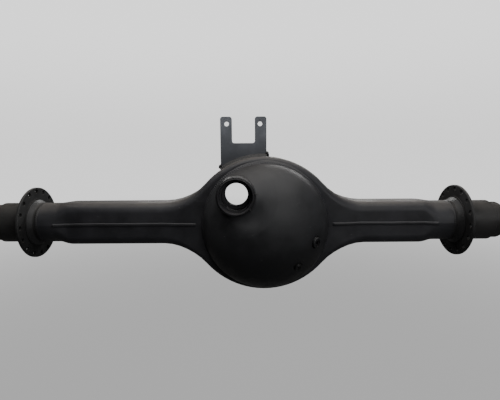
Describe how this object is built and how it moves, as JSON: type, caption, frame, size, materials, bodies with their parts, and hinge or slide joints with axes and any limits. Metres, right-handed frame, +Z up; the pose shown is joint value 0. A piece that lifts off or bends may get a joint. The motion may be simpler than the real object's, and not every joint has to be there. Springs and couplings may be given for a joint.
{
  "type": "axle housing",
  "caption": "Welded drive axle housing: two arms and a bowl pressed in halves, a rear dome with an output opening, a bolted carrier ring, brake flanges and hollow spindles.",
  "frame": {"origin": "on the axle line, halfway between the two brake flanges", "axes": "+X along the axle to the right as seen from the dome side, +Y towards the carrier side, +Z up"},
  "size_m": [2.056, 0.326, 0.551],
  "materials": {
    "shell_paint": "satin black paint, dusty on top",
    "dome_paint": "satin black paint, dusty on top",
    "sleeve_paint": "satin black paint, dusty on top",
    "ring_paint": "satin black paint, dusty on top",
    "spindle_paint": "satin black paint, dusty on top",
    "flange_paint": "satin black paint, dusty on top",
    "bracket_paint": "satin black paint, dusty on top",
    "plug_paint": "satin black paint, dusty on top",
    "weld_paint": "satin black paint, dusty on top"
  },
  "bodies": {
    "root": {"upper_half_shell": "shell_paint", "lower_half_shell": "shell_paint", "dome_cover": "dome_paint", "dome_weld": "weld_paint", "output_sleeve": "sleeve_paint", "sleeve_weld": "weld_paint", "carrier_ring": "ring_paint", "carrier_ring_weld": "weld_paint", "left_spindle": "spindle_paint", "right_spindle": "spindle_paint", "left_brake_flange": "flange_paint", "right_brake_flange": "flange_paint", "left_collar_weld": "weld_paint", "right_collar_weld": "weld_paint", "left_rim_weld": "weld_paint", "right_rim_weld": "weld_paint", "left_girth_weld": "weld_paint", "right_girth_weld": "weld_paint", "rear_left_seam": "weld_paint", "rear_right_seam": "weld_paint", "front_left_seam": "weld_paint", "front_right_seam": "weld_paint", "valve_bracket": "bracket_paint", "bracket_rear_weld": "weld_paint", "bracket_front_weld": "weld_paint", "filler_bung": "dome_paint", "filler_plug": "plug_paint", "drain_bung": "dome_paint", "drain_plug": "plug_paint"}
  },
  "joints": []
}
